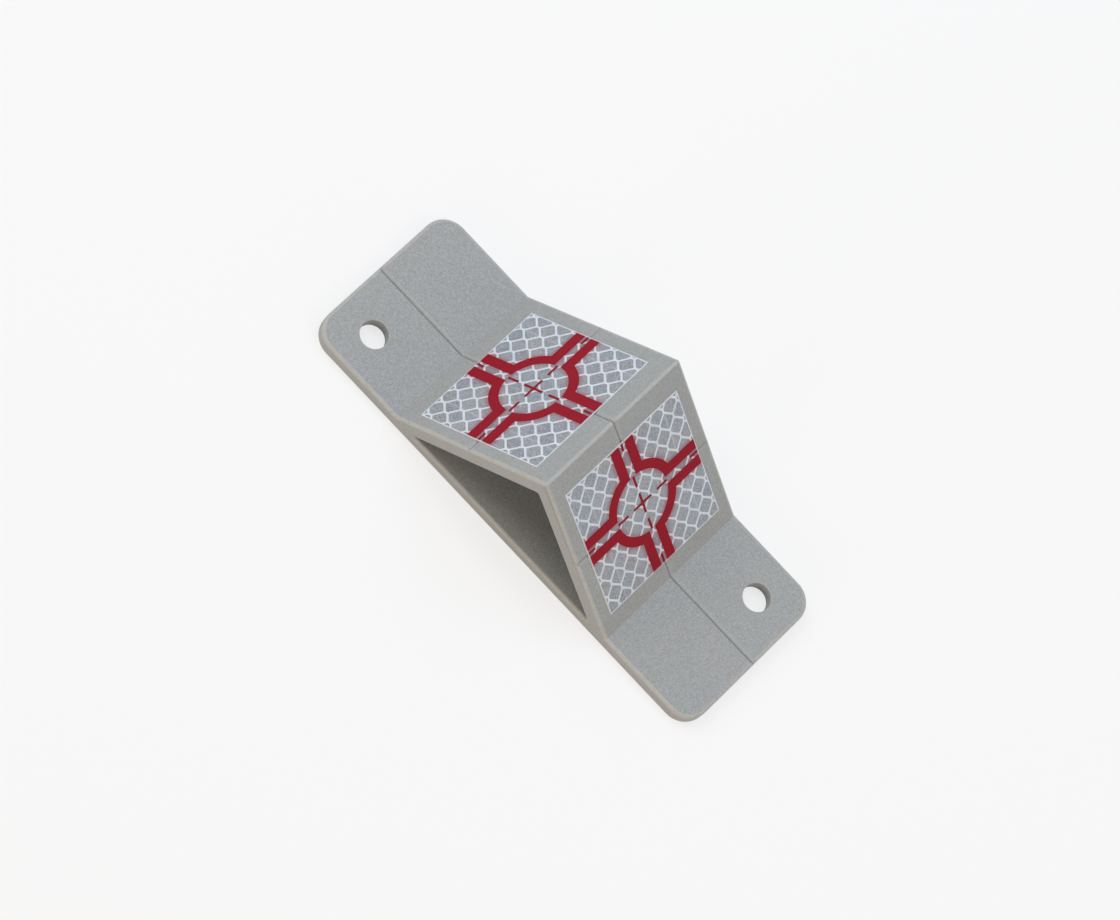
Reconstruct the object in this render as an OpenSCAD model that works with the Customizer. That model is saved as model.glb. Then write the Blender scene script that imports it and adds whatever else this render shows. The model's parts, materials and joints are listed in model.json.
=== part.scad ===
// Bridge-shaped road marker with two sighting targets.
// The moulding lies flat on the road and is held by two screws. Each of its two slopes carries a
// square sheet of prismatic reflective film, printed with a sighting reticle.
// Millimetres, +Z up. X runs along the marker, Y runs along the ridge.
// The origin is the centre of the underside.

/* [Bridge moulding] */
// Overall length, from the end of one wing to the end of the other
body_length = 165.4; // [150:0.1:200]
// Overall width, measured along the ridge
body_width = 60; // [56:1:80]
// Overall height, from the road to the flat of the ridge
body_height = 50.7; // [46:0.1:60]
// Thickness of the two flat wings
wing_thickness = 5; // [3:0.5:7]
// Thickness of the strip that closes the tunnel below
floor_thickness = 4.2; // [3:0.1:7]
// Thickness of the sloping walls, measured square to the slope
wall_thickness = 5.5; // [3:0.5:8]
// Angle between each slope and the road
slope_angle = 45; // [40:1:50]
// Radius of the four outer corners of the wings
corner_radius = 8; // [3:0.5:12]
// Chamfer along the upper edges of the wings and slopes
edge_chamfer = 1; // [0.4:0.1:2]
// Width of the flat along the ridge
ridge_flat = 0.7; // [0.3:0.1:3]

/* [Fixing holes] */
// Diameter of the two fixing holes
hole_diameter = 9.2; // [5:0.1:13]
// Distance from the end of a wing to the centre of its hole
hole_end_inset = 13.9; // [10:0.1:20]
// Distance from the side of a wing to the centre of its hole
hole_side_inset = 13.7; // [10:0.1:24]

/* [Sighting grooves] */
// Width of the V-shaped grooves that mark the middle lines
groove_width = 1.4; // [0.4:0.1:2]
// Depth of the grooves
groove_depth = 0.4; // [0.2:0.05:1]
// How far the groove across each slope sits below the middle of the slope
cross_groove_drop = 0.7; // [-2:0.05:2]

/* [Target sheets] */
// Side of each square sheet
sheet_size = 50; // [40:1:54]
// How far the left sheet sits below the middle of its slope
left_sheet_drop = 0.25; // [0:0.05:2]
// How far the right sheet sits below the middle of its slope
right_sheet_drop = 0.55; // [0:0.05:2]
// How far the left sheet sits to the near side of the middle
left_sheet_shift = 0.6; // [-1:0.1:1]
// How far the right sheet sits to the near side of the middle
right_sheet_shift = 0.1; // [-1:0.1:1]
// Width of the plain white rim round each sheet, free of cells and of print
sheet_rim = 0.35; // [0.2:0.05:1]
// Thickness of the adhesive under each sheet
adhesive_thickness = 0.1; // [0.05:0.05:0.5]
// Thickness of the backing film
backing_thickness = 0.1; // [0.05:0.05:0.5]
// Thickness of the prism film, with the seal net in its face
film_thickness = 0.2; // [0.2:0.05:0.6]
// Thickness of the printed reticle
print_thickness = 0.05; // [0.02:0.01:0.1]

/* [Seal net] */
// Distance between two cells side by side
net_pitch = 5.95; // [4:0.05:9]
// Distance between one row of cells and the next
net_row = 4.2; // [3:0.05:7]
// Length of the short upright web where two cells lie side by side
net_upright = 1.25; // [0.8:0.05:1.6]
// Width of the web between two cells
net_line = 0.75; // [0.4:0.05:1]
// Depth of the web in the face of the prism film
net_depth = 0.1; // [0.05:0.01:0.15]
// How far the left net is shifted up its slope
left_net_up = -1.55; // [-4:0.05:4]
// How far the left net is shifted across its slope
left_net_across = 0.25; // [-3:0.05:3]
// How far the right net is shifted up its slope
right_net_up = 1.6; // [-4:0.05:4]
// How far the right net is shifted across its slope
right_net_across = -0.05; // [-3:0.05:3]

/* [Reticle] */
// Width of each of the two lines of an arm
arm_line = 3.6; // [1:0.1:5]
// Clear gap between the two lines of an arm
arm_gap = 2.6; // [1.5:0.1:5]
// Inner radius of the ring
ring_radius = 10.9; // [9:0.1:13]
// Width of the ring's line
ring_line = 3.3; // [1:0.1:5]
// Width of the fine lines: the centre cross, the dashes and the ticks
fine_line = 0.8; // [0.3:0.1:1.2]
// Length from tip to tip of the centre cross
cross_length = 7.8; // [4:0.1:10]
// Length of each dash, inwards from the ring
dash_length = 4.4; // [1:0.1:4.8]
// Length of each tick, inwards from the rim of the sheet
tick_length = 3.1; // [1:0.1:5]
// How far the left print is shifted up its sheet
left_print_up = -0.15; // [-1:0.05:1]
// How far the left print is shifted across its sheet
left_print_across = -0.1; // [-1:0.05:1]
// How far the right print is shifted up its sheet
right_print_up = 0.45; // [-1:0.05:1]
// How far the right print is shifted across its sheet
right_print_across = 0.35; // [-1:0.05:1]

/* [Hidden] */
$fn = 96;

// How far a cutting shape reaches past the solid that it cuts
overcut = 5;

half_length = body_length / 2;
half_width = body_width / 2;

// The slopes, if they ran on to a sharp edge, would meet at this height
apex_height = body_height + ridge_flat / 2 * tan(slope_angle);
// Half the distance between the two folds, where the slopes leave the wings
fold_x = (apex_height - wing_thickness) / tan(slope_angle);
// Half the distance between the slopes at road level
foot_x = apex_height / tan(slope_angle);
// Length of the flat of a slope, from the fold to the ridge flat
slope_length = (body_height - wing_thickness) / sin(slope_angle);
// The tunnel's own apex, and half its width at the floor
tunnel_apex = apex_height - wall_thickness / cos(slope_angle);
tunnel_half_width = (tunnel_apex - floor_thickness) / tan(slope_angle);

// Middle of the groove across each slope, measured up the slope from the fold
cross_groove_place = slope_length / 2 - cross_groove_drop;
// Half the side of the square inside the rim, which holds the cells and the print
inner_half = sheet_size / 2 - sheet_rim;

hole_x = half_length - hole_end_inset;
hole_y = half_width - hole_side_inset;

// Heights of the layers above the slope
backing_level = adhesive_thickness;
film_level = backing_level + backing_thickness;
net_level = film_level + film_thickness - net_depth;
print_level = film_level + film_thickness;

body_grey = [0.63, 0.635, 0.63];
adhesive_tint = [0.85, 0.84, 0.78];
backing_white = [0.9, 0.91, 0.92];
film_grey = [0.56, 0.61, 0.66];
net_white = [0.8, 0.84, 0.88];
print_red = [0.62, 0.09, 0.16];

// ---- Placing things on the two slopes ----

// Puts its children on the flat of one slope: local X runs up the slope, local Z points out of it.
// side is -1 for the left slope and 1 for the right, which is the left one turned half round.
module on_slope(side) {
    rotate([0, 0, side < 0 ? 0 : 180])
    translate([-fold_x, 0, wing_thickness])
    rotate([0, -slope_angle, 0])
    children();
}

// Puts its children at the centre of a sheet, lifted above the slope.
module on_sheet(side, level) {
    drop = side < 0 ? left_sheet_drop : right_sheet_drop;
    shift = side < 0 ? -left_sheet_shift : right_sheet_shift;
    on_slope(side)
    translate([slope_length / 2 - drop, shift, level])
    children();
}

// ---- Bridge moulding ----

// Extrudes an outline drawn in X and Z along the ridge.
module along_ridge(outline, width) {
    rotate([90, 0, 0])
    linear_extrude(height = width, center = true)
    polygon(outline);
}

// Outline of a plate with chamfered upper edges, half_span to each side of the middle.
function chamfered_plate(half_span) = [
    [-half_span, 0],
    [half_span, 0],
    [half_span, wing_thickness - edge_chamfer],
    [half_span - edge_chamfer, wing_thickness],
    [edge_chamfer - half_span, wing_thickness],
    [-half_span, wing_thickness - edge_chamfer],
];

module wing_corner() {
    cylinder(h = wing_thickness - edge_chamfer, r = corner_radius);
    translate([0, 0, wing_thickness - edge_chamfer])
    cylinder(h = edge_chamfer, r1 = corner_radius, r2 = corner_radius - edge_chamfer);
}

module wing_plate() {
    along_ridge(chamfered_plate(half_length), body_width - 2 * corner_radius);
    rotate([0, 0, 90])
    along_ridge(chamfered_plate(half_width), body_length - 2 * corner_radius);
    for (x = [-1, 1], y = [-1, 1]) {
        translate([x * (half_length - corner_radius), y * (half_width - corner_radius), 0])
        wing_corner();
    }
}

// Cuts the chamfer along one side edge of a slope.
module slope_chamfer_cut(side, edge) {
    on_slope(side)
    scale([1, edge, 1])
    translate([-slope_length, half_width, -edge_chamfer])
    rotate([45, 0, 0])
    cube([3 * slope_length, overcut, overcut]);
}

module bridge_block() {
    difference() {
        along_ridge([
            [-foot_x, 0],
            [foot_x, 0],
            [ridge_flat / 2, body_height],
            [-ridge_flat / 2, body_height],
        ], body_width);
        for (side = [-1, 1], edge = [-1, 1]) {
            slope_chamfer_cut(side, edge);
        }
    }
}

module tunnel_cut() {
    along_ridge([
        [-tunnel_half_width, floor_thickness],
        [tunnel_half_width, floor_thickness],
        [0, tunnel_apex],
    ], body_width + 2 * overcut);
}

module fixing_hole_cuts() {
    for (side = [-1, 1]) {
        translate([side * hole_x, side * hole_y, -overcut])
        cylinder(h = wing_thickness + 2 * overcut, d = hole_diameter);
    }
}

// A bar with a diamond section, whose lower half cuts a V-shaped groove along local X.
module groove_bar(length) {
    rotate([90, 0, 90])
    linear_extrude(height = length)
    polygon([
        [groove_width / 2, 0],
        [0, groove_depth],
        [-groove_width / 2, 0],
        [0, -groove_depth],
    ]);
}

module groove_cuts() {
    // How far two grooves run past the bend where they meet
    mitre = groove_depth * tan(slope_angle / 2);
    for (side = [-1, 1]) {
        rotate([0, 0, side < 0 ? 0 : 180])
        translate([-half_length - overcut, 0, wing_thickness])
        groove_bar(half_length + overcut - fold_x + mitre);
        on_slope(side)
        translate([-mitre, 0, 0])
        groove_bar(slope_length + mitre);
        on_slope(side)
        translate([cross_groove_place, -half_width - overcut, 0])
        rotate([0, 0, 90])
        groove_bar(body_width + 2 * overcut);
    }
    translate([-ridge_flat / 2 - mitre, 0, body_height])
    groove_bar(ridge_flat + 2 * mitre);
}

module marker_body() {
    color(body_grey)
    difference() {
        union() {
            wing_plate();
            bridge_block();
        }
        tunnel_cut();
        fixing_hole_cuts();
        groove_cuts();
    }
}

// ---- Layers of a target sheet ----

module sheet_square() {
    square(sheet_size, center = true);
}

module sheet_layer(side, level, thickness) {
    on_sheet(side, level)
    linear_extrude(height = thickness)
    sheet_square();
}

// Outline of one cell: a diamond whose two side corners are cut off by the upright webs.
// The web's middle lines make the full shape, and half a web is taken off all round.
module net_cell() {
    middle_tip = net_row - net_upright / 2;
    lean = atan((middle_tip - net_upright / 2) / (net_pitch / 2));
    tip = middle_tip - net_line / 2 / cos(lean);
    flank = (net_pitch - net_line) / 2;
    shoulder = tip - flank * tan(lean);
    polygon([
        [tip, 0],
        [shoulder, flank],
        [-shoulder, flank],
        [-tip, 0],
        [-shoulder, -flank],
        [shoulder, -flank],
    ]);
}

// All the cells of one net inside the rim. The net is shifted up and across the sheet.
module net_cells(up, across) {
    rows = ceil(sheet_size / 2 / net_row) + 1;
    columns = ceil(sheet_size / 2 / net_pitch) + 1;
    intersection() {
        square(2 * inner_half, center = true);
        for (row = [-rows : rows], column = [-columns : columns]) {
            stagger = row % 2 == 0 ? 0 : net_pitch / 2;
            translate([row * net_row + up, column * net_pitch + stagger + across])
            net_cell();
        }
    }
}

// The web between the cells, with its outer edge well past the sheet.
module net_web(up, across) {
    difference() {
        square(sheet_size + 2 * overcut, center = true);
        net_cells(up, across);
    }
}

module prism_film(side, up, across) {
    color(film_grey)
    difference() {
        sheet_layer(side, film_level, film_thickness);
        on_sheet(side, net_level)
        linear_extrude(height = net_depth + overcut)
        net_web(up, across);
    }
}

module seal_net(side, up, across) {
    color(net_white)
    on_sheet(side, net_level)
    linear_extrude(height = net_depth)
    intersection() {
        sheet_square();
        net_web(up, across);
    }
}

// A flat bar of the print, centred on the sheet's middle and running up the slope.
module print_bar(length, width, height) {
    translate([-length / 2, -width / 2, 0])
    cube([length, width, height]);
}

// The same bar laid up the slope and across it.
module print_cross(length, width, height) {
    print_bar(length, width, height);
    rotate([0, 0, 90])
    print_bar(length, width, height);
}

// A fine line on each of the four arms, between two distances from the centre.
module print_dashes(inner, outer) {
    for (turn = [0 : 90 : 270]) {
        rotate([0, 0, turn])
        translate([inner, -fine_line / 2, 0])
        cube([outer - inner, fine_line, print_thickness]);
    }
}

// The whole print round its own centre, with arms that run on past the sheet.
module print_pattern() {
    arm_length = sheet_size + 2 * overcut;
    difference() {
        union() {
            cylinder(h = print_thickness, r = ring_radius + ring_line);
            print_cross(arm_length, arm_gap + 2 * arm_line, print_thickness);
        }
        translate([0, 0, -overcut]) {
            cylinder(h = print_thickness + 2 * overcut, r = ring_radius);
            print_cross(arm_length + 2 * overcut, arm_gap, print_thickness + 2 * overcut);
        }
    }
    print_cross(cross_length, fine_line, print_thickness);
    print_dashes(ring_radius - dash_length, ring_radius);
    print_dashes(inner_half - tick_length, arm_length / 2);
}

// The print, shifted up and across its sheet and cut off along the rim.
module reticle(side, up, across) {
    color(print_red)
    on_sheet(side, print_level)
    intersection() {
        translate([0, 0, -overcut])
        print_bar(2 * inner_half, 2 * inner_half, print_thickness + 2 * overcut);
        translate([up, across, 0])
        print_pattern();
    }
}

module left_adhesive() {
    color(adhesive_tint) sheet_layer(-1, 0, adhesive_thickness);
}

module left_backing_film() {
    color(backing_white) sheet_layer(-1, backing_level, backing_thickness);
}

module left_prism_film() {
    prism_film(-1, left_net_up, left_net_across);
}

module left_seal_net() {
    seal_net(-1, left_net_up, left_net_across);
}

module left_reticle() {
    reticle(-1, left_print_up, left_print_across);
}

module right_adhesive() {
    color(adhesive_tint) sheet_layer(1, 0, adhesive_thickness);
}

module right_backing_film() {
    color(backing_white) sheet_layer(1, backing_level, backing_thickness);
}

module right_prism_film() {
    prism_film(1, right_net_up, right_net_across);
}

module right_seal_net() {
    seal_net(1, right_net_up, right_net_across);
}

module right_reticle() {
    reticle(1, right_print_up, right_print_across);
}

marker_body();
left_adhesive();
left_backing_film();
left_prism_film();
left_seal_net();
left_reticle();
right_adhesive();
right_backing_film();
right_prism_film();
right_seal_net();
right_reticle();
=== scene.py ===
"""Looks of the bridge-shaped road marker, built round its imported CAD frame.

The moulding and the faces of the two target sheets are modelled here, in millimetres, and scaled to
metres at the end. The adhesive, the backing film and the printed reticle are the CAD nodes themselves.
"""
import json
import math
import random

import bmesh
import bpy
from mathutils import Matrix, Vector
from mathutils.geometry import delaunay_2d_cdt


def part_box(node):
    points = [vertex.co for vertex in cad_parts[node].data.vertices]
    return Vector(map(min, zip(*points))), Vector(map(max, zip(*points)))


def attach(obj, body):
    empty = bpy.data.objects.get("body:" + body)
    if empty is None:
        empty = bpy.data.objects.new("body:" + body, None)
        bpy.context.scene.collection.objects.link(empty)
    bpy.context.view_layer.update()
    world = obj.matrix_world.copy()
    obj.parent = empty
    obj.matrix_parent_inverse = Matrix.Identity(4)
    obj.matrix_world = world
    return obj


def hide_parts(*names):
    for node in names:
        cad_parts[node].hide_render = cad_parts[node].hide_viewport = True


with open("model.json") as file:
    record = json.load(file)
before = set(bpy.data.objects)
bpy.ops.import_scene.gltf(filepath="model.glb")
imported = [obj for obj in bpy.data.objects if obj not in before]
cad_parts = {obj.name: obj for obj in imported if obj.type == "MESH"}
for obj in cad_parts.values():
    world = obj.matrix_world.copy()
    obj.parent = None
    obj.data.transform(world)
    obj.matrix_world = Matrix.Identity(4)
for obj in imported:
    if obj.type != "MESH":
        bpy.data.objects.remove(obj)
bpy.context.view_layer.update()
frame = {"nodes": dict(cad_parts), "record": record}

MM = 0.001
SIDES = {"left": -1, "right": 1}

# ---- Sizes read from the frame, in millimetres ----

body_low, body_high = (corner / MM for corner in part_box("marker_body"))
HALF_LENGTH = body_high.x
HALF_WIDTH = body_high.y
HEIGHT = body_high.z
BORES = [mount for mount in frame["record"]["mounts"] if mount["kind"] == "bore"]
WING = BORES[0]["dims"]["length_mm"]

SLOPE = math.radians(45)
RISE = math.sin(SLOPE)
RUN = math.cos(SLOPE)


def layer_size(node):
    """The side and the thickness of a flat square layer that lies on a slope."""
    low, high = (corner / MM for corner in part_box(node))
    side = high.y - low.y
    return side, (high.x - low.x - side * RUN) / RISE


SHEET, ADHESIVE = layer_size("left_adhesive")
BACKING = layer_size("left_backing_film")[1]
# A known fault: the film's box is only as high as the film's edge, which lies under the net's rim, so
# this gives 0.1 of its 0.2 mm. The faces of film and net lie 0.1 mm too low, with the print's CAD node
# that far above them, and the slab in film_face has no thickness. To mend it, add NET_DEPTH to this.
FILM = layer_size("left_prism_film")[1]
NET_DEPTH = layer_size("left_seal_net")[1]
FILM_LEVEL = ADHESIVE + BACKING
FACE_LEVEL = FILM_LEVEL + FILM


def up_slope(name):
    return Vector((-SIDES[name] * RUN, 0, RISE))


def sheet_frame(name):
    """Turns a sheet's own millimetres (up the slope, across it, out of it) into the row's."""
    low, high = (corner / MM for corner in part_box(f"{name}_adhesive"))
    up = up_slope(name)
    across = Vector((0, -SIDES[name], 0))
    out = up.cross(across)
    on_slope = (low + high) / 2 - out * ADHESIVE / 2
    matrix = Matrix((up, across, out)).transposed().to_4x4()
    matrix.translation = on_slope
    return matrix


# The right slope runs through this point, and meets the wing at the fold and the left slope at the apex
slope_point = sheet_frame("right").translation
FOLD_X = slope_point.x + (slope_point.z - WING) / math.tan(SLOPE)
APEX = slope_point.z + slope_point.x * math.tan(SLOPE)

# ---- Sizes of the moulding that the frame's boxes don't give ----

WALL = 5.5
FLOOR = 4.2
CORNER_RADIUS = 8
FOLD_RADIUS = 0.25
RIDGE_RADIUS = (APEX - HEIGHT) / (1 / math.sin(SLOPE) - 1)
TOP_EDGE = 1.05
BOTTOM_EDGE = 0.15
TUNNEL_CORNER = 0.8
# Radii of the rounded mouths: the tunnel's walls, its floor and the holes
TUNNEL_EDGE = 0.25
FLOOR_EDGE = 1.0
HOLE_EDGE = 0.25
# A groove has a flat bottom, a wall with a rounded lip and, on its other side, a gentle ramp. These are
# half the bottom's width, the depth and the ramp's width
GROOVE_BOTTOM = 0.2
GROOVE_DEPTH = 0.4
GROOVE_RAMP = 0.95
# How far the groove from end to end lies to one side of the middle
LONG_GROOVE_SHIFT = 0.2
# Places of the grooves across the slopes, measured up the slope from the fold
CROSS_GROOVE_PLACES = {"left": 31.75, "right": 31.65}

# ---- Sizes of the sheets' faces ----

SHEET_CORNER = 0.1
# The net: the plain rim round it, the distance of its cells across and of its rows up the slope, the
# length of the upright lines between neighbours and the width of every line
RIM = 0.35
PITCH = 5.95
ROW = 4.2
UPRIGHT = 1.25
LINE = 0.72
# Radii of a cell's corners at its tips and at its sides, and the width of its bevelled edge
CELL_TIP = 0.2
CELL_CORNER = 0.5
CELL_BEVEL = 0.05
# How far the net lies below the cells' faces
NET_DROP = 0.02
# Places of the net and of the print from the sheet's middle, up the slope and across it
NET_SHIFTS = {"left": (-1.55, 0.25), "right": (1.6, -0.05)}
PRINT_SHIFTS = {"left": (-0.15, -0.1), "right": (0.45, 0.35)}
# Cells with a smaller area are left out, and corners of a cell closer together than this become one
SMALLEST_CELL = 0.12
CLOSEST_CORNERS = 0.02
# Mean shade of the cells, from 0, dark, to 1, light, and how much it varies. The left sheet's lower mean
# is painted shade against the stronger light on the left slope
CELL_SHADES = {"left": 0.15, "right": 0.55}
SHADE_SPREAD = 0.18

# The print: the width of each line of an arm and of the gap between the two, and the inner radius and
# the width of the ring
ARM_LINE = 3.6
ARM_GAP = 2.6
RING = 10.9
RING_LINE = 3.3

# ---- Small geometry helpers ----


def rounded(corners, radii, steps):
    """The closed outline through corners, each rounded by its own radius."""
    outline = []
    for index, corner in enumerate(corners):
        radius = radii[index]
        if radius == 0:
            outline.append(corner.copy())
            continue
        before = (corners[index - 1] - corner).normalized()
        after = (corners[(index + 1) % len(corners)] - corner).normalized()
        half = before.angle(after) / 2
        centre = corner + (before + after).normalized() * radius / math.sin(half)
        start = corner + before * radius / math.tan(half) - centre
        end = corner + after * radius / math.tan(half) - centre
        turn = math.pi - 2 * half
        for step in range(steps + 1):
            share = step / steps
            outline.append(
                centre
                + start * math.sin((1 - share) * turn) / math.sin(turn)
                + end * math.sin(share * turn) / math.sin(turn)
            )
    return outline


def area(outline):
    total = 0
    for index, point in enumerate(outline):
        following = outline[(index + 1) % len(outline)]
        total += point.x * following.y - following.x * point.y
    return abs(total) / 2


def loft(bm, rings):
    """Joins rings of as many points each by faces, and closes both ends."""
    made = [[bm.verts.new(point) for point in ring] for ring in rings]
    for lower, upper in zip(made, made[1:]):
        for index in range(len(lower)):
            after = (index + 1) % len(lower)
            bm.faces.new((lower[index], lower[after], upper[after], upper[index]))
    bm.faces.new(list(reversed(made[0])))
    bm.faces.new(made[-1])


def new_object(bm, name, matrix=None):
    """Makes an object of a bmesh, with its normals outwards."""
    bmesh.ops.recalc_face_normals(bm, faces=bm.faces[:])
    if bm.calc_volume(signed=True) < 0:
        bmesh.ops.reverse_faces(bm, faces=bm.faces[:])
    mesh = bpy.data.meshes.new(name)
    bm.to_mesh(mesh)
    bm.free()
    if matrix:
        mesh.transform(matrix)
    made = bpy.data.objects.new(name, mesh)
    bpy.context.scene.collection.objects.link(made)
    return made


def bake_modifiers(target):
    """Replaces an object's mesh by what its modifiers make of it."""
    bpy.context.view_layer.update()
    graph = bpy.context.evaluated_depsgraph_get()
    mesh = bpy.data.meshes.new_from_object(target.evaluated_get(graph))
    target.modifiers.clear()
    target.data = mesh


def carve(target, cutter):
    """Cuts one object out of another and removes the cutter."""
    cut = target.modifiers.new("cut", "BOOLEAN")
    cut.operation = "DIFFERENCE"
    cut.solver = "EXACT"
    cut.object = cutter
    bake_modifiers(target)
    bpy.data.objects.remove(cutter)


# ---- The moulding ----

ARC_STEPS = 6
BOTTOM_EDGE_STEPS = 3
HOLE_STEPS = 64
# A mouth is rounded up to this angle and goes straight on from there
FLARE_STEPS = 5
FLARE_END = math.radians(80)
# How far a cutter reaches past the surface that it cuts, and less where the surface folds sharply
REACH = 0.4
SHORT_REACH = FOLD_RADIUS / 2
# Upright walls have normals that rise less than the first of these, and skins ones that rise more
WALL_RISE = 0.01
SKIN_RISE = 0.1


def flare(radius, reach=REACH):
    """(depth, offset) pairs of a rounded mouth, from inside the opening to just past the surface."""
    pairs = []
    for step in range(FLARE_STEPS + 1):
        turn = FLARE_END * step / FLARE_STEPS
        pairs.append((radius * (1 - math.sin(turn)), radius * (1 - math.cos(turn))))
    depth, offset = pairs[-1]
    pairs.append((-reach, offset + (depth + reach) * math.tan(FLARE_END)))
    return pairs


def top_outline():
    """The upper skin from one wing's end to the other's, in X and Z."""
    return [
        Vector((HALF_LENGTH, WING)),
        Vector((FOLD_X, WING)),
        Vector((0, APEX)),
        Vector((-FOLD_X, WING)),
        Vector((-HALF_LENGTH, WING)),
    ]


def round_edges(bm, edges, radius, steps):
    bmesh.ops.bevel(bm, geom=edges, offset=radius, segments=steps, profile=0.5, affect="EDGES")


def moulding_block():
    """The moulding without its tunnel, holes and grooves."""
    corners = [Vector((-HALF_LENGTH, 0)), Vector((HALF_LENGTH, 0)), *top_outline()]
    radii = [0, 0, 0, FOLD_RADIUS, RIDGE_RADIUS, FOLD_RADIUS, 0]
    outline = rounded(corners, radii, ARC_STEPS)
    bm = bmesh.new()
    loft(bm, [[(p.x, y, p.y) for p in outline] for y in (-HALF_WIDTH, HALF_WIDTH)])
    bmesh.ops.recalc_face_normals(bm, faces=bm.faces[:])

    upright = [
        edge for edge in bm.edges
        if abs(edge.verts[0].co.z - edge.verts[1].co.z) > WING / 2
        and all(abs(vert.co.x) > HALF_LENGTH - CORNER_RADIUS for vert in edge.verts)
    ]
    round_edges(bm, upright, CORNER_RADIUS, 2 * ARC_STEPS)
    bm.normal_update()

    def border(is_skin):
        """The edges between an upper or lower skin and the upright walls."""
        found = []
        for edge in bm.edges:
            wall, skin = sorted(edge.link_faces, key=lambda face: abs(face.normal.z))
            if abs(wall.normal.z) < WALL_RISE and abs(skin.normal.z) > SKIN_RISE and is_skin(skin):
                found.append(edge)
        return found

    top = border(lambda face: face.normal.z > 0)
    bottom = border(lambda face: face.normal.z < 0)
    round_edges(bm, top, TOP_EDGE, ARC_STEPS)
    bottom = [edge for edge in bottom if edge.is_valid]
    round_edges(bm, bottom, BOTTOM_EDGE, BOTTOM_EDGE_STEPS)
    return new_object(bm, "bridge_moulding")


def mouth_offset(radius, depth):
    """How far a mouth of this radius has opened at a depth below the surface, or above it if below 0."""
    turn = math.asin(min(max(1 - depth / radius, 0), math.sin(FLARE_END)))
    return radius * (1 - math.cos(turn)) + max(-depth, 0) * math.tan(FLARE_END)


def tunnel_cutter():
    """A three-sided bar with rounded corners that widens at both mouths, more so at its floor."""
    def ring(y, depth):
        wall = mouth_offset(TUNNEL_EDGE, depth)
        low = FLOOR - mouth_offset(FLOOR_EDGE, depth)
        peak = APEX - (WALL - wall) / RUN
        half_width = (peak - low) / math.tan(SLOPE)
        corners = [Vector((-half_width, low)), Vector((half_width, low)), Vector((0, peak))]
        outline = rounded(corners, [TUNNEL_CORNER + wall] * 3, ARC_STEPS)
        return [(p.x, y, p.y) for p in outline]

    depths = sorted({depth for depth, _ in flare(FLOOR_EDGE) + flare(TUNNEL_EDGE)})
    bm = bmesh.new()
    near = [ring(depth - HALF_WIDTH, depth) for depth in depths]
    far = [ring(HALF_WIDTH - depth, depth) for depth in reversed(depths)]
    loft(bm, near + far)
    return new_object(bm, "tunnel_cutter")


def hole_cutter(bore):
    """A round bar along one hole of the record that widens at both mouths."""
    x, y, middle = (value / MM for value in bore["pos_m"])
    radius, length = bore["dims"]["r_mm"], bore["dims"]["length_mm"]

    def ring(z, offset):
        return [
            (
                x + (radius + offset) * math.cos(math.tau * step / HOLE_STEPS),
                y + (radius + offset) * math.sin(math.tau * step / HOLE_STEPS),
                z,
            )
            for step in range(HOLE_STEPS)
        ]

    mouth = flare(HOLE_EDGE)
    low = [ring(middle - length / 2 + depth, offset) for depth, offset in reversed(mouth)]
    high = [ring(middle + length / 2 - depth, offset) for depth, offset in mouth]
    bm = bmesh.new()
    loft(bm, low + high)
    return new_object(bm, "hole_cutter")


# The name of the mark on faces whose plastic is made paler, above 0, by wear and painted highlight, or
# darker, below 0, by painted shade
WEAR_AND_PAINTED_LIGHT = "wear_and_painted_light"
# Rounded edges: paler from wear and from a painted highlight
EDGE_WEAR_AND_HIGHLIGHT = 1.0
# A groove's ramp gets a painted highlight
RAMP_HIGHLIGHT = 0.5
# A groove's bottom and lipped wall get painted shade
GROOVE_SHADE = -0.7
# A rounded edge's faces lean away from every flat by more than this, and lie this close to the edge
EDGE_LEAN = math.radians(5)
EDGE_REACH = 1.5


def groove_section():
    """(across, height) of a groove with its ramp first. Heights count from the surface."""
    ramp = GROOVE_RAMP * (1 + SHORT_REACH / GROOVE_DEPTH)
    lip = [(-GROOVE_BOTTOM - offset, -depth) for depth, offset in flare(GROOVE_DEPTH, SHORT_REACH)]
    return [(GROOVE_BOTTOM + ramp, SHORT_REACH), (GROOVE_BOTTOM, -GROOVE_DEPTH), *lip]


def groove_cutter(path, across):
    """Sweeps the groove along a path. across is square to it and level, and points to the ramp's side."""
    section = groove_section()
    rings = []
    for index, point in enumerate(path):
        before = (point - path[max(index - 1, 0)]).normalized()
        after = (path[min(index + 1, len(path) - 1)] - point).normalized()
        out = (before + after).cross(across).normalized()
        if out.z < 0:
            out.negate()
        rings.append([point + across * offset + out * height for offset, height in section])
    bm = bmesh.new()
    loft(bm, rings)
    cutter = new_object(bm, "groove_cutter")
    mark = cutter.data.attributes.new(WEAR_AND_PAINTED_LIGHT, "FLOAT", "FACE")
    for index in range((len(rings) - 1) * len(section)):
        # The ramp's faces get a painted highlight, the groove's other faces painted shade
        mark.data[index].value = GROOVE_SHADE if index % len(section) else RAMP_HIGHLIGHT
    return cutter


def long_groove():
    """Along the middle of the wings, up one slope and down the other."""
    corners = top_outline()
    corners[0] = Vector((HALF_LENGTH + REACH, WING))
    corners[-1] = Vector((-HALF_LENGTH - REACH, WING))
    outline = rounded(corners, [0, FOLD_RADIUS, RIDGE_RADIUS, FOLD_RADIUS, 0], ARC_STEPS)
    path = [Vector((p.x, LONG_GROOVE_SHIFT, p.y)) for p in outline]
    return groove_cutter(path, Vector((0, 1, 0)))


def cross_groove(name):
    """Across one slope, near the middle of its sheet."""
    up = up_slope(name)
    middle = Vector((SIDES[name] * FOLD_X, 0, WING)) + up * CROSS_GROOVE_PLACES[name]
    reach = HALF_WIDTH + REACH
    return groove_cutter([Vector((middle.x, y, middle.z)) for y in (-reach, reach)], -up)


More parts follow.
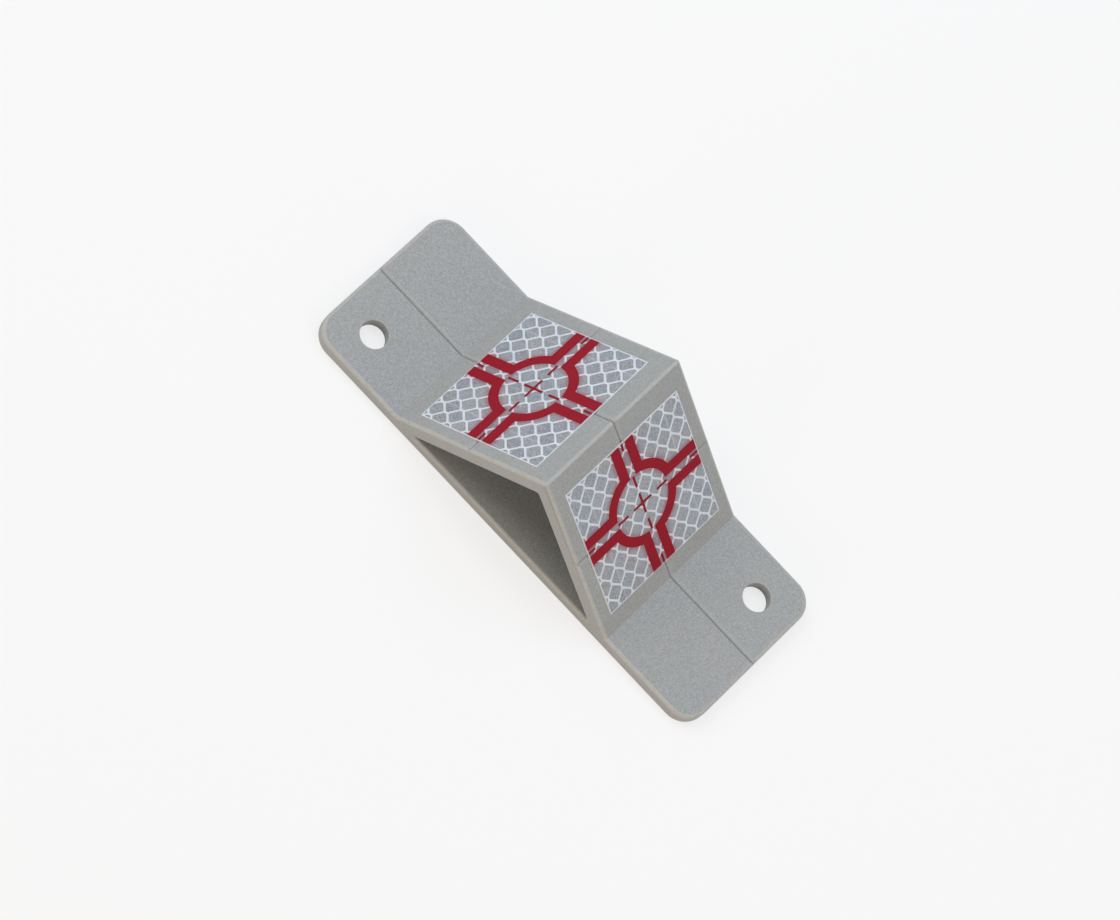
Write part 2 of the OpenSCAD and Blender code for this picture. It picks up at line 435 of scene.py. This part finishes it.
def mark_edges(moulding):
    """Marks the faces of the moulding's rounded outer edges, made paler by wear and by a painted
    highlight.
    """
    slopes = [Vector((side * RISE, 0, RUN)) for side in SIDES.values()]
    flats = [Vector((1, 0, 0)), Vector((0, 1, 0)), Vector((0, 0, 1)), *slopes]
    mark = moulding.data.attributes.new(WEAR_AND_PAINTED_LIGHT, "FLOAT", "FACE")
    for face in moulding.data.polygons:
        x, y, z = (abs(value) for value in face.center)
        skin = WING + max(FOLD_X - x, 0) * math.tan(SLOPE)
        at_skin = z > skin - EDGE_REACH
        at_side = y > HALF_WIDTH - EDGE_REACH
        at_fold = abs(x - FOLD_X) < EDGE_REACH and z < WING + EDGE_REACH
        likest = max(abs(face.normal.dot(flat)) for flat in flats)
        rounded_off = abs(face.normal.z) > SKIN_RISE and likest < math.cos(EDGE_LEAN)
        if rounded_off and (at_side or (at_skin and not at_fold)):
            # Paler plastic on the edge: wear and a painted highlight
            mark.data[face.index].value = EDGE_WEAR_AND_HIGHLIGHT


# Corners closer together than this, left by the cuts, become one
WELD = 0.001
# The mesh is shaded smooth, but for edges sharper than this
SHARP = math.radians(38)
# The largest faces alone set the direction of the normals that they share, so that flats look flat
LARGEST_FACES = 100


def weld(piece):
    """Takes out the slivers that the cuts have left."""
    bm = bmesh.new()
    bm.from_mesh(piece.data)
    bmesh.ops.remove_doubles(bm, verts=bm.verts[:], dist=WELD)
    bmesh.ops.dissolve_degenerate(bm, dist=WELD, edges=bm.edges[:])
    bm.to_mesh(piece.data)
    bm.free()


def bridge_moulding():
    """The whole moulding. The groove over the ridge is cut last, as cuts after it leave open edges."""
    moulding = moulding_block()
    carve(moulding, tunnel_cutter())
    for bore in BORES:
        carve(moulding, hole_cutter(bore))
    mark_edges(moulding)
    for name in SIDES:
        carve(moulding, cross_groove(name))
    carve(moulding, long_groove())
    weld(moulding)
    moulding.data.transform(Matrix.Scale(MM, 4))
    moulding.data.shade_smooth()
    moulding.data.set_sharp_from_angle(angle=SHARP)
    weighted = moulding.modifiers.new("even_flats", "WEIGHTED_NORMAL")
    weighted.keep_sharp = True
    weighted.weight = LARGEST_FACES
    return moulding


# ---- The faces of the sheets ----

CELL_STEPS = 3
SHEET_STEPS = 2
# A small cell's bevel leaves at least this share of its width flat
LEAST_FLAT = 0.3
# Points of the net closer together than this count as one
NET_TOLERANCE = 1e-5


def cell_corners():
    """A diamond with its two side corners cut off, counterclockwise in (up, across)."""
    middle_tip = ROW - UPRIGHT / 2
    lean = math.atan((middle_tip - UPRIGHT / 2) / (PITCH / 2))
    tip = middle_tip - LINE / 2 / math.cos(lean)
    flank = (PITCH - LINE) / 2
    shoulder = tip - flank * math.tan(lean)
    half = [Vector((tip, 0)), Vector((shoulder, flank)), Vector((-shoulder, flank))]
    return half + [-point for point in half]


def clipped(outline, half):
    """The part of a convex outline that lies in the square of this half side."""
    for axis in (0, 1):
        for sign in (-1, 1):
            kept = []
            for index, point in enumerate(outline):
                before = outline[index - 1]
                inside = sign * point[axis] <= half
                if inside != (sign * before[axis] <= half):
                    share = (sign * half - before[axis]) / (point[axis] - before[axis])
                    kept.append(before.lerp(point, share))
                if inside:
                    kept.append(point)
            outline = kept
            if not outline:
                return []
    return outline


def without_doubles(outline):
    return [p for index, p in enumerate(outline) if (p - outline[index - 1]).length > CLOSEST_CORNERS]


def net_cells(name):
    """The outlines of all the cells on one sheet."""
    shape = rounded(cell_corners(), [CELL_TIP, CELL_CORNER, CELL_CORNER] * 2, CELL_STEPS)
    up, across = NET_SHIFTS[name]
    rows = math.ceil(SHEET / 2 / ROW) + 1
    columns = math.ceil(SHEET / 2 / PITCH) + 1
    cells = []
    for row in range(-rows, rows + 1):
        for column in range(-columns, columns + 1):
            stagger = PITCH / 2 if row % 2 else 0
            centre = Vector((row * ROW + up, column * PITCH + stagger + across))
            cell = without_doubles(clipped([centre + p for p in shape], SHEET / 2 - RIM))
            if len(cell) > 2 and area(cell) > SMALLEST_CELL:
                cells.append(cell)
    return cells


def add_print_uv(bm, name):
    """Writes the place from the print's centre (across, up), in millimetres, as UVs."""
    layer = bm.loops.layers.uv.new("from_print")
    up, across = PRINT_SHIFTS[name]
    for face in bm.faces:
        for loop in face.loops:
            loop[layer].uv = (loop.vert.co.y - across, loop.vert.co.x - up)


def lay_on_slope(bm, name, piece_name):
    """Makes an object of a sheet's face and puts it where that sheet lies, in metres."""
    add_print_uv(bm, name)
    return new_object(bm, piece_name, Matrix.Scale(MM, 4) @ sheet_frame(name))


def sheet_outline():
    half = SHEET / 2
    corners = [Vector((half, half)), Vector((-half, half)), Vector((-half, -half)), Vector((half, -half))]
    return rounded(corners, [SHEET_CORNER] * 4, SHEET_STEPS)


def film_face(name, cells):
    """The prism film: a slab with every cell set into it, each with its own random tint."""
    bm = bmesh.new()
    tint = bm.loops.layers.float_color.new("cell_tint")
    draw = random.Random(f"cells of the {name} sheet")
    slab_top = FACE_LEVEL - NET_DEPTH
    loft(bm, [[(p.x, p.y, z) for p in sheet_outline()] for z in (FILM_LEVEL, slab_top)])
    for cell in cells:
        middle = sum(cell, Vector((0, 0))) / len(cell)
        radius = math.sqrt(area(cell) / math.pi)
        flat = max(1 - CELL_BEVEL / radius, LEAST_FLAT)
        sunk = slab_top - NET_DEPTH / 2
        levels = ((sunk, 1), (FACE_LEVEL - CELL_BEVEL / 2, 1), (FACE_LEVEL, flat))
        loft(bm, [[(*(middle + (p - middle) * scale), z) for p in cell] for z, scale in levels])
        bm.faces.ensure_lookup_table()
        # The left sheet's lower mean shade is painted shade
        colour = (draw.gauss(CELL_SHADES[name], SHADE_SPREAD), draw.random(), draw.random(), 1)
        face_count = (len(levels) - 1) * len(cell) + 2
        for face in bm.faces[-face_count:]:
            for loop in face.loops:
                loop[tint] = colour
    return lay_on_slope(bm, name, f"{name}_prism_cells")


def net_face(name, cells):
    """The seal net: a thin web with a hole round every cell."""
    points, loops = [], []
    for outline in (sheet_outline(), *cells):
        loops.append(list(range(len(points), len(points) + len(outline))))
        points.extend(outline)
    edges = [(loop[index - 1], loop[index]) for loop in loops for index in range(len(loop))]
    flat_points, _, triangles, *_ = delaunay_2d_cdt(points, edges, [], 0, NET_TOLERANCE)
    bm = bmesh.new()
    low_level, high_level = FACE_LEVEL - NET_DEPTH, FACE_LEVEL - NET_DROP
    low = [bm.verts.new((p.x, p.y, low_level)) for p in flat_points]
    high = [bm.verts.new((p.x, p.y, high_level)) for p in flat_points]
    owner = {index: number for number, loop in enumerate(loops) for index in loop}
    for triangle in triangles:
        owners = {owner.get(index) for index in triangle}
        # A triangle between three corners of one cell fills the cell. Number 0 is the sheet's edge
        if len(owners) == 1 and owners != {0}:
            continue
        bm.faces.new([high[index] for index in triangle])
        bm.faces.new([low[index] for index in reversed(triangle)])
    for loop in loops:
        for index in range(len(loop)):
            a, b = loop[index - 1], loop[index]
            bm.faces.new((low[a], low[b], high[b], high[a]))
    return lay_on_slope(bm, name, f"{name}_seal_web")


# ---- Materials ----


class Shader:
    """A material with one Principled surface, and short calls that add nodes to it."""

    def __init__(self, name, **settings):
        self.material = bpy.data.materials.new(name)
        self.material.use_nodes = True
        self.tree = self.material.node_tree
        self.tree.nodes.clear()
        self.surface = self.node("ShaderNodeBsdfPrincipled", settings)
        output = self.node("ShaderNodeOutputMaterial")
        self.tree.links.new(self.surface.outputs[0], output.inputs["Surface"])

    def node(self, kind, inputs=None, **options):
        made = self.tree.nodes.new(kind)
        for name, value in options.items():
            setattr(made, name, value)
        for name, value in (inputs or {}).items():
            self.fill(made.inputs[name], value)
        return made

    def fill(self, socket, value):
        """Sets a socket to a value, or links it to another node's output."""
        if isinstance(value, bpy.types.NodeSocket):
            self.tree.links.new(value, socket)
        else:
            socket.default_value = value

    def math(self, operation, *values, clamp=False):
        inputs = dict(enumerate(values))
        return self.node("ShaderNodeMath", inputs, operation=operation, use_clamp=clamp).outputs[0]

    def millimetres(self):
        """The place of a point in the object, in millimetres."""
        place = self.node("ShaderNodeTexCoord").outputs["Object"]
        scaled = self.node("ShaderNodeVectorMath", {0: place, "Scale": 1 / MM}, operation="SCALE")
        return scaled.outputs[0]

    def print_place(self):
        """The place of a point on its sheet from the print's centre, across and up, in millimetres."""
        return self.node("ShaderNodeUVMap", uv_map="from_print").outputs[0]

    def noise(self, place, size, detail, roughness=0.5):
        """Noise from 0 to 1 whose lumps are about this many millimetres wide."""
        inputs = {"Vector": place, "Scale": 1 / size, "Detail": detail, "Roughness": roughness}
        return self.node("ShaderNodeTexNoise", inputs).outputs["Fac"]

    def spread(self, value, low, high, out_low=0.0, out_high=1.0):
        """Maps a stretch of one value to a stretch of another, and clamps it."""
        inputs = {
            "Value": value, "From Min": low, "From Max": high, "To Min": out_low, "To Max": out_high
        }
        return self.node("ShaderNodeMapRange", inputs).outputs[0]

    def blend(self, share, first, second):
        """Mixes two colours, all of the second where the share is 1."""
        made = self.node("ShaderNodeMix", data_type="RGBA")
        self.fill(made.inputs["Factor"], share)
        self.fill(made.inputs["A"], first)
        self.fill(made.inputs["B"], second)
        return made.outputs["Result"]

    def bump(self, height, distance, strength):
        """Bump whose height runs over this many millimetres."""
        inputs = {"Height": height, "Distance": distance * MM, "Strength": strength}
        return self.node("ShaderNodeBump", inputs).outputs[0]

    def finish(self, **sockets):
        """Fills sockets of the surface, named as in base_color for Base Color, and gives the material."""
        for name, value in sockets.items():
            self.fill(self.surface.inputs[name.replace("_", " ").title()], value)
        return self.material


def from_srgb(red, green, blue):
    """Turns a colour as it is seen, from 0 to 255, into the linear one that shaders take."""
    linear = []
    for value in (red, green, blue):
        value /= 255
        linear.append(value / 12.92 if value <= 0.04045 else ((value + 0.055) / 1.055) ** 2.4)
    return (*linear, 1)


def body_plastic():
    """Matt light grey moulded plastic with a fine grain, faint patches, edges paler from wear and painted
    highlight, and painted shade in the grooves.
    """
    shader = Shader("body_plastic", **{"IOR": 1.46, "Specular IOR Level": 0.35})
    place = shader.millimetres()
    cloud = shader.noise(place, 22, 2)
    patch = shader.noise(place, 3.6, 2)
    mottle = shader.noise(place, 1.3, 3)
    grain = shader.noise(place, 0.4, 2, 0.7)
    base = shader.blend(shader.spread(cloud, 0.3, 0.7), from_srgb(158, 163, 165), from_srgb(163, 166, 165))
    base = shader.blend(shader.spread(patch, 0.35, 0.65, 0, 0.55), base, from_srgb(160, 162, 160))
    base = shader.blend(shader.spread(mottle, 0.3, 0.7, 0, 0.2), base, from_srgb(150, 153, 155))
    base = shader.blend(shader.spread(grain, 0.5, 0.75, 0, 0.55), base, from_srgb(202, 204, 204))
    base = shader.blend(shader.spread(grain, 0.5, 0.25, 0, 0.55), base, from_srgb(124, 126, 127))
    mark = shader.node("ShaderNodeAttribute", attribute_name=WEAR_AND_PAINTED_LIGHT).outputs["Fac"]
    # Paler plastic where marked: wear and painted highlight on the edges, painted highlight on the groove
    # ramps
    wear_and_highlight = shader.math("MULTIPLY", mark, shader.spread(mottle, 0.3, 0.6, 0.35, 0.7), clamp=True)
    base = shader.blend(wear_and_highlight, base, from_srgb(186, 186, 182))
    # Darker plastic in the grooves: painted shade
    painted_groove_shade = shader.math("MULTIPLY", mark, shader.spread(mottle, 0.3, 0.6, -1, -0.7), clamp=True)
    base = shader.blend(painted_groove_shade, base, from_srgb(112, 113, 112))
    height = shader.math("MULTIPLY_ADD", mottle, 0.4, grain)
    return shader.finish(
        base_color=base,
        roughness=shader.spread(grain, 0.3, 0.7, 0.52, 0.68),
        normal=shader.bump(height, 0.06, 0.6),
    )


def from_middle_lines(shader, place):
    """The distances of a place, across and up, from the print's two middle lines."""
    split = shader.node("ShaderNodeSeparateXYZ", {0: place})
    return tuple(shader.math("ABSOLUTE", split.outputs[axis]) for axis in (0, 1))


def beside_print(shader, place):
    """How far a point lies outside the print's bands, in millimetres."""
    across, up = from_middle_lines(shader, place)
    squares = shader.math("MULTIPLY_ADD", across, across, shader.math("MULTIPLY", up, up))
    radius = shader.math("SQRT", squares)
    outside = shader.math("SUBTRACT", RING, radius)
    middle, half = (ARM_GAP + ARM_LINE) / 2, ARM_LINE / 2

    def arm(place_across):
        band = shader.math("ABSOLUTE", shader.math("SUBTRACT", place_across, middle))
        return shader.math("MAXIMUM", shader.math("SUBTRACT", band, half), outside)

    ring_middle = RING + RING_LINE / 2
    ring = shader.math("ABSOLUTE", shader.math("SUBTRACT", radius, ring_middle))
    ring = shader.math("SUBTRACT", ring, RING_LINE / 2)
    opening = shader.math("SUBTRACT", ARM_GAP / 2, shader.math("MINIMUM", across, up))
    ring = shader.math("MAXIMUM", ring, opening)
    return shader.math("MINIMUM", shader.math("MINIMUM", arm(across), arm(up)), ring)


def between_lines(shader, place):
    """1 in the narrow gap between the two lines of an arm, outside the ring, and 0 elsewhere."""
    across, up = from_middle_lines(shader, place)
    narrow = shader.math("LESS_THAN", shader.math("MINIMUM", across, up), ARM_GAP / 2)
    far = shader.spread(shader.math("MAXIMUM", across, up), RING, RING + 2 * RING_LINE)
    return shader.math("MULTIPLY", narrow, far)


def stretched(shader, place, across, up):
    """The place divided by two lengths, so that noise of size 1 on it gets lumps of those lengths."""
    inputs = {0: place, 1: (1 / across, 1 / up, 1)}
    return shader.node("ShaderNodeVectorMath", inputs, operation="MULTIPLY").outputs[0]


# Distance of the film's two faint seams from the middle of the marker. A seam is at its lightest up to
# the second distance to either side, and gone at the third
SEAM_PLACE = 17.65
SEAM_CORE = 0.1
SEAM_END = 0.5
# The clear face of the film and of its net
CLEAR_FACE = {"Specular IOR Level": 0.35, "Coat Weight": 0.15, "Coat Roughness": 0.2}


def seam_line(shader):
    """1 along the two light seams that run up the film, and 0 a little way off."""
    split = shader.node("ShaderNodeSeparateXYZ", {0: shader.millimetres()})
    offset = shader.math("SUBTRACT", shader.math("ABSOLUTE", split.outputs[1]), SEAM_PLACE)
    return shader.spread(shader.math("ABSOLUTE", offset), SEAM_CORE, SEAM_END, 1, 0)


def prism_film():
    """Blue-grey cube-corner film under a clear face: every cell has its own tint, with a painted pink
    reflection and painted shadow of the print beside it.
    """
    shader = Shader("prism_film", **CLEAR_FACE)
    place = shader.print_place()
    tint = shader.node("ShaderNodeAttribute", attribute_name="cell_tint").outputs["Color"]
    random_values = shader.node("ShaderNodeSeparateColor", {0: tint})
    shade, warmth, bloom = (random_values.outputs[index] for index in range(3))
    base = shader.blend(shade, from_srgb(126, 134, 145), from_srgb(158, 166, 177))
    warm = shader.spread(warmth, 0.45, 1, 0, 0.6)
    base = shader.blend(warm, base, from_srgb(152, 149, 150))
    cloud = shader.noise(place, 2.2, 2)
    base = shader.blend(shader.spread(cloud, 0.35, 0.7, 0, 0.5), base, from_srgb(170, 176, 184))
    streaks = shader.noise(stretched(shader, place, 0.9, 0.3), 1, 2, 0.7)
    base = shader.blend(shader.spread(streaks, 0.5, 0.75, 0, 0.8), base, from_srgb(212, 217, 224))
    base = shader.blend(shader.spread(streaks, 0.5, 0.25, 0, 0.8), base, from_srgb(90, 98, 108))
    base = shader.blend(shader.math("MULTIPLY", seam_line(shader), 0.3), base, from_srgb(205, 213, 222))
    distance = beside_print(shader, place)
    # Painted reflection of the print: pink patches beside its bands
    print_reflection_patch = shader.noise(place, 1.1, 2, 0.6)
    print_reflection_nearness = shader.spread(distance, 0.2, 4.5, 0.8, 0)
    pink = shader.math("MULTIPLY", print_reflection_nearness, shader.spread(print_reflection_patch, 0.4, 0.65))
    base = shader.blend(pink, base, from_srgb(166, 142, 154))
    # Painted shadow of the print: a darker pink band close beside it
    base = shader.blend(shader.spread(distance, 0.2, 1.5, 0.7, 0), base, from_srgb(138, 101, 114))
    green_patch = shader.noise(place, 0.9, 2, 0.6)
    greenness = shader.spread(bloom, 0.3, 1, 0, 0.35)
    green = shader.math("MULTIPLY", greenness, shader.spread(green_patch, 0.5, 0.7))
    base = shader.blend(green, base, from_srgb(146, 160, 154))
    # Painted shadow of the print in the gap between the two lines of an arm
    print_shadow_between_arms = shader.math("MULTIPLY", between_lines(shader, place), 0.35)
    base = shader.blend(print_shadow_between_arms, base, from_srgb(128, 104, 116))
    # Painted reflection of the print: a pale pink rim along its edge
    base = shader.blend(shader.spread(distance, 0.05, 0.35, 0.3, 0), base, from_srgb(206, 170, 180))
    return shader.finish(
        base_color=base,
        roughness=shader.spread(streaks, 0.3, 0.7, 0.32, 0.45),
        normal=shader.bump(streaks, 0.01, 0.4),
    )


def seal_net():
    """White seal lines, a little uneven, with a painted pink reflection of the print beside it."""
    shader = Shader("seal_net", **CLEAR_FACE)
    place = shader.print_place()
    cloud = shader.noise(place, 3.5, 2)
    base = shader.blend(shader.spread(cloud, 0.3, 0.7), from_srgb(208, 217, 227), from_srgb(226, 233, 241))
    fine = shader.noise(place, 0.34, 2, 0.7)
    base = shader.blend(shader.spread(fine, 0.5, 0.25, 0, 0.6), base, from_srgb(178, 188, 200))
    # Painted reflection of the print: pink beside its bands
    distance = beside_print(shader, place)
    base = shader.blend(shader.spread(distance, 0.2, 2.5, 0.45, 0), base, from_srgb(222, 196, 206))
    return shader.finish(base_color=base, roughness=0.38, normal=shader.bump(fine, 0.01, 0.4))


def reticle_ink():
    """Dark red printed ink with a fine uneven screen."""
    shader = Shader("reticle_ink", **{"Specular IOR Level": 0.1})
    place = shader.millimetres()
    mottle = shader.noise(place, 1.6, 3, 0.6)
    base = shader.blend(shader.spread(mottle, 0.3, 0.7), from_srgb(142, 19, 37), from_srgb(152, 24, 43))
    fine = shader.noise(place, 0.34, 2, 0.7)
    base = shader.blend(shader.spread(fine, 0.5, 0.78, 0, 0.6), base, from_srgb(178, 44, 60))
    base = shader.blend(shader.spread(fine, 0.5, 0.22, 0, 0.6), base, from_srgb(126, 8, 26))
    return shader.finish(
        base_color=base,
        roughness=shader.spread(mottle, 0.3, 0.7, 0.5, 0.6),
        normal=shader.bump(fine, 0.01, 0.3),
    )


def plain_layer(name, first, second, roughness):
    """The adhesive and the backing film, of which only the cut edges show."""
    shader = Shader(name)
    mottle = shader.noise(shader.millimetres(), 0.8, 2)
    base = shader.blend(mottle, from_srgb(*first), from_srgb(*second))
    return shader.finish(base_color=base, roughness=roughness, normal=shader.bump(mottle, 0.02, 0.4))


def dress(piece, material):
    piece.data.materials.clear()
    piece.data.materials.append(material)


# ---- Building the object ----

materials = {
    "body_plastic": body_plastic(),
    "prism_film": prism_film(),
    "seal_net": seal_net(),
    "reticle_ink": reticle_ink(),
    "adhesive": plain_layer("adhesive", (214, 212, 200), (224, 222, 212), 0.45),
    "backing": plain_layer("backing", (222, 225, 228), (234, 236, 238), 0.4),
}

moulding = bridge_moulding()
dress(moulding, materials["body_plastic"])
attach(moulding, "root")
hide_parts("marker_body")

for side_name in SIDES:
    cell_outlines = net_cells(side_name)
    faces = {
        "prism_film": film_face(side_name, cell_outlines),
        "seal_net": net_face(side_name, cell_outlines),
    }
    for slot, face in faces.items():
        dress(face, materials[slot])
        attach(face, "root")
        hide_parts(f"{side_name}_{slot}")
    for layer, slot in (("adhesive", "adhesive"), ("backing_film", "backing"), ("reticle", "reticle_ink")):
        dress(frame["nodes"][f"{side_name}_{layer}"], materials[slot])

# ---- Studio ----

# Half the floor's side and how far it lies below the part, in metres, and its brightness
FLOOR_HALF = 3.0
FLOOR_DROP = 0.00005
FLOOR_GREY = 0.84
# How much of the floor's own look is a plain white glow, where the camera or a mirror sees it
FLOOR_GLOW = 0.7
WORLD_STRENGTH = 0.34
WORLD_COLOUR = (1.0, 0.87, 0.72)
# Name, place in metres, size, power in watts and colour of each soft lamp
LAMPS = [
    ("top", (0.0, 0.35, 0.85), 0.7, 3.1, (0.46, 0.68, 1.0)),
    ("left", (-1.02, 0.0, 1.1), 1.0, 9.7, (1.0, 1.0, 1.0)),
    ("right", (1.15, 0.0, 0.96), 1.0, 6.0, (1.0, 0.91, 0.79)),
    ("front", (0.0, -1.46, 0.26), 0.6, 7.0, (1.0, 0.81, 0.65)),
]
# The camera's lens and sensor, and the place that it looks at and its distance from there
LENS = 166.17
SENSOR_WIDTH = 36
CAMERA_TARGET = Vector((-2.75, -4.675, 15)) * MM
CAMERA_DISTANCE = 1556.7 * MM
# Azimuth from the near side, elevation, and roll about the line of sight, in degrees
CAMERA_ANGLES = (0.255, 65.548, 46.431)


def seen_directly(nodes, links):
    """1 where the camera, a reflection or a clear surface shows something, 0 where it only lights."""
    path = nodes.new("ShaderNodeLightPath")
    seen = path.outputs["Is Camera Ray"]
    for ray in ("Is Glossy Ray", "Is Transmission Ray"):
        either = nodes.new("ShaderNodeMath")
        either.operation = "MAXIMUM"
        links.new(seen, either.inputs[0])
        links.new(path.outputs[ray], either.inputs[1])
        seen = either.outputs[0]
    return seen


def studio_floor():
    """A white floor that glows a little for the camera, so that it is white and keeps a soft shadow."""
    bm = bmesh.new()
    bmesh.ops.create_grid(bm, x_segments=1, y_segments=1, size=FLOOR_HALF)
    made = new_object(bm, "studio_floor")
    made.location.z = -FLOOR_DROP
    material = bpy.data.materials.new("studio_floor")
    material.use_nodes = True
    nodes, links = material.node_tree.nodes, material.node_tree.links
    nodes.clear()
    output = nodes.new("ShaderNodeOutputMaterial")
    diffuse = nodes.new("ShaderNodeBsdfDiffuse")
    diffuse.inputs["Color"].default_value = (FLOOR_GREY, FLOOR_GREY, FLOOR_GREY, 1)
    glow = nodes.new("ShaderNodeEmission")
    glow.inputs["Color"].default_value = (1, 1, 1, 1)
    share = nodes.new("ShaderNodeMath")
    share.operation = "MULTIPLY"
    share.inputs[1].default_value = FLOOR_GLOW
    links.new(seen_directly(nodes, links), share.inputs[0])
    mixed = nodes.new("ShaderNodeMixShader")
    links.new(share.outputs[0], mixed.inputs[0])
    links.new(diffuse.outputs[0], mixed.inputs[1])
    links.new(glow.outputs[0], mixed.inputs[2])
    links.new(mixed.outputs[0], output.inputs["Surface"])
    dress(made, material)


def studio_world():
    """White where the camera looks past the floor, and an even soft light everywhere else."""
    world = bpy.data.worlds.new("studio")
    bpy.context.scene.world = world
    world.use_nodes = True
    nodes, links = world.node_tree.nodes, world.node_tree.links
    nodes.clear()
    output = nodes.new("ShaderNodeOutputWorld")
    background = nodes.new("ShaderNodeBackground")
    background.inputs["Color"].default_value = (*WORLD_COLOUR, 1)
    strength = nodes.new("ShaderNodeMapRange")
    strength.inputs["To Min"].default_value = WORLD_STRENGTH
    strength.inputs["To Max"].default_value = 1.0
    links.new(seen_directly(nodes, links), strength.inputs["Value"])
    links.new(strength.outputs[0], background.inputs["Strength"])
    links.new(background.outputs[0], output.inputs["Surface"])


def softbox(name, place, size, power, colour):
    """A square area light that faces the object."""
    data = bpy.data.lights.new(name, "AREA")
    data.size = size
    data.energy = power
    data.color = colour
    lamp = bpy.data.objects.new(name, data)
    lamp.location = place
    lamp.rotation_euler = (-Vector(place)).to_track_quat("-Z", "Y").to_euler()
    lamp.visible_camera = False
    bpy.context.scene.collection.objects.link(lamp)


def camera():
    """Looks down on the marker from its near side, rolled so that it lies along the picture's diagonal."""
    data = bpy.data.cameras.new("camera")
    data.sensor_width = SENSOR_WIDTH
    data.lens = LENS
    azimuth, elevation, roll = (math.radians(angle) for angle in CAMERA_ANGLES)
    back = Vector((
        math.sin(azimuth) * math.cos(elevation),
        -math.cos(azimuth) * math.cos(elevation),
        math.sin(elevation),
    ))
    made = bpy.data.objects.new("camera", data)
    level = (-back).to_track_quat("-Z", "Y").to_matrix()
    turned = (level @ Matrix.Rotation(roll, 3, "Z")).to_4x4()
    made.matrix_world = Matrix.Translation(CAMERA_TARGET + back * CAMERA_DISTANCE) @ turned
    bpy.context.scene.collection.objects.link(made)
    bpy.context.scene.camera = made


studio_floor()
studio_world()
for lamp in LAMPS:
    softbox(*lamp)
camera()
bpy.context.scene.view_settings.view_transform = "Standard"
